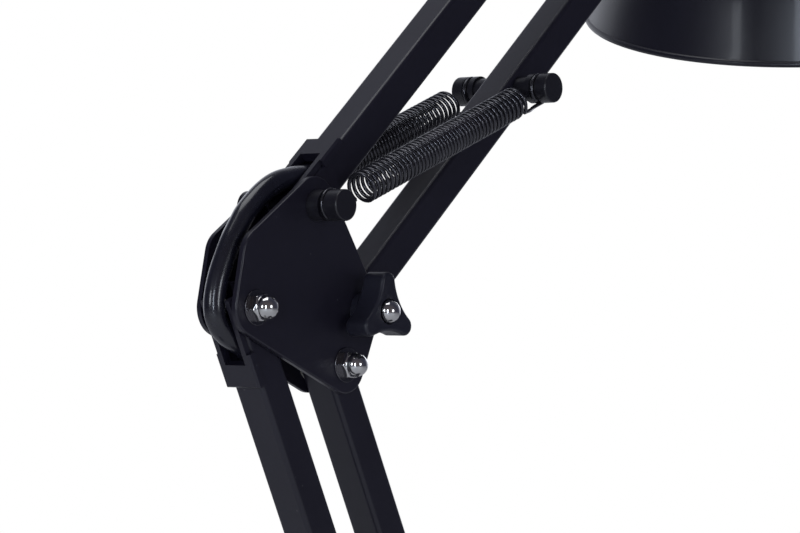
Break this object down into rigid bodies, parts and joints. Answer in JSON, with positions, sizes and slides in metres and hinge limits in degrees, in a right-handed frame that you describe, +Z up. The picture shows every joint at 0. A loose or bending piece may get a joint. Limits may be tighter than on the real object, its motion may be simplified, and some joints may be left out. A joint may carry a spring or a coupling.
{
  "type": "architect desk lamp",
  "caption": "Balanced-arm desk lamp: parallelogram arms with tension springs on a swivelling round base, knobs at the elbow and head, bell shade, lead along the arms.",
  "frame": {"origin": "middle of the base's underside, on the swivel axis", "axes": "+Z up, +X the way the arm reaches, the arm's plates parallel to XZ"},
  "size_m": [0.5553, 0.221, 0.6711],
  "materials": {
    "black_paint": "satin black baked enamel on steel",
    "shade_paint": "smooth satin black outside, white enamel inside",
    "black_steel": "blackened steel, semi-gloss",
    "spring_wire": "black lacquered spring wire, glossy",
    "chrome": "bright plating",
    "knob_plastic": "fine matt moulded black",
    "bush_plastic": "natural plastic bush",
    "switch_plastic": "glossy black button",
    "lead_sheath": "smooth glossy black sheath",
    "soft_rubber": "matt black",
    "cast_weight": "rough grey",
    "bulb_metal": "plain thin metal",
    "bulb_glass": "frosted"
  },
  "bodies": {
    "base": {"base_cover": "black_paint", "base_screws": "black_steel", "base_weight": "cast_weight", "base_pad": "soft_rubber", "swivel_bush": "bush_plastic", "lead_in_base": "lead_sheath", "strain_relief": "soft_rubber", "mains_lead": "lead_sheath", "lead_coil": "lead_sheath", "plug_lead": "lead_sheath", "mains_plug": "soft_rubber"},
    "foot": {"foot_turntable": "black_paint", "foot_block": "black_paint", "foot_bolts": "chrome", "foot_nuts": "chrome", "foot_plate_front": "black_paint", "foot_plate_rear": "black_paint", "foot_spring_pin": "black_steel", "foot_washers": "black_steel", "lead_in_foot": "lead_sheath"},
    "lower_left_bar": {"lower_left_bar": "black_paint", "lower_lead_guides": "black_paint", "lead_in_lower_bar": "lead_sheath", "lower_springs": "spring_wire", "lead_foot_loop": "lead_sheath", "lead_elbow_lower": "lead_sheath"},
    "lower_right_bar": {"lower_right_bar": "black_paint", "lower_spring_bar": "black_steel"},
    "elbow": {"elbow_plate_front": "black_paint", "elbow_plate_rear": "black_paint", "elbow_spring_pin": "black_steel", "elbow_bolts": "chrome", "elbow_nuts": "chrome", "elbow_washers": "black_steel"},
    "elbow_knob": {"elbow_knob": "knob_plastic"},
    "upper_left_bar": {"upper_left_bar": "black_paint", "upper_lead_guides": "black_paint", "lead_in_upper_bar": "lead_sheath", "upper_springs": "spring_wire", "lead_elbow_upper": "lead_sheath", "lead_head_loop": "lead_sheath"},
    "upper_right_bar": {"upper_right_bar": "black_paint", "upper_spring_bar": "black_steel"},
    "head_bracket": {"head_plate_front": "black_paint", "head_plate_rear": "black_paint", "head_block": "black_paint", "head_bolts": "chrome", "head_nuts": "chrome", "head_washers": "black_steel"},
    "knuckle": {"head_knuckle": "black_paint", "head_tilt_bolt": "chrome"},
    "head_knob": {"head_knob": "knob_plastic"},
    "head": {"head_lug": "black_paint", "socket_cap": "black_paint", "lamp_holder": "knob_plastic", "shade_ring": "knob_plastic", "bulb_cap": "bulb_metal", "bulb_glass": "bulb_glass", "shade": "shade_paint"},
    "switch_button": {"switch_button": "switch_plastic"}
  },
  "joints": [
    {"name": "base_swivel", "type": "hinge", "parent": "base", "child": "foot", "pos_m": [0, 0, 0.0294], "axis": [0, 0, 1], "range_deg": [-170, 170]},
    {"name": "lower_arm", "type": "hinge", "parent": "foot", "child": "lower_left_bar", "pos_m": [-0.0208, 0, 0.0785], "axis": [0, 1, 0], "range_deg": [-16, 50], "deforming": ["lower_springs", "lead_foot_loop", "lead_elbow_lower"]},
    {"name": "lower_arm_right", "type": "hinge", "parent": "foot", "child": "lower_right_bar", "pos_m": [0.0208, 0, 0.06], "axis": [0, 1, 0], "range_deg": [-16, 50]},
    {"name": "elbow_parallel", "type": "hinge", "parent": "lower_left_bar", "child": "elbow", "pos_m": [-0.17578, 0, 0.40343], "axis": [0, 1, 0], "range_deg": [-50, 16]},
    {"name": "elbow_knob_turn", "type": "hinge", "parent": "elbow", "child": "elbow_knob", "pos_m": [-0.12688, -0.016, 0.40183], "axis": [0, 1, 0], "continuous": true},
    {"name": "upper_arm", "type": "hinge", "parent": "elbow", "child": "upper_left_bar", "pos_m": [-0.14828, 0, 0.43513], "axis": [0, 1, 0], "range_deg": [-24, 56], "deforming": ["upper_springs", "lead_elbow_upper", "lead_head_loop"]},
    {"name": "upper_arm_right", "type": "hinge", "parent": "elbow", "child": "upper_right_bar", "pos_m": [-0.12688, 0, 0.40183], "axis": [0, 1, 0], "range_deg": [-24, 56]},
    {"name": "head_parallel", "type": "hinge", "parent": "upper_left_bar", "child": "head_bracket", "pos_m": [0.08532, 0, 0.63892], "axis": [0, 1, 0], "range_deg": [-56, 24]},
    {"name": "head_roll", "type": "hinge", "parent": "head_bracket", "child": "knuckle", "pos_m": [0.14232, 0, 0.66063], "axis": [1, 0, 0], "range_deg": [-90, 90]},
    {"name": "head_tilt", "type": "hinge", "parent": "knuckle", "child": "head", "pos_m": [0.14232, 0, 0.66063], "axis": [0, 0.9866, 0.1633], "range_deg": [-70, 10]},
    {"name": "head_knob_turn", "type": "hinge", "parent": "knuckle", "child": "head_knob", "pos_m": [0.14232, 0, 0.66063], "axis": [0, 0.9866, 0.1633], "continuous": true},
    {"name": "switch_press", "type": "slide", "parent": "head", "child": "switch_button", "axis": [0.2723, 0.1572, -0.9493], "range_m": [0, 0.0015], "stiffness_N_per_m": 800, "springref_m": -0.0005}
  ],
  "couplings": [
    {"joint": "lower_arm_right", "follows": "lower_arm", "ratio": 1},
    {"joint": "elbow_parallel", "follows": "lower_arm", "ratio": -1},
    {"joint": "upper_arm_right", "follows": "upper_arm", "ratio": 1},
    {"joint": "head_parallel", "follows": "upper_arm", "ratio": -1}
  ]
}
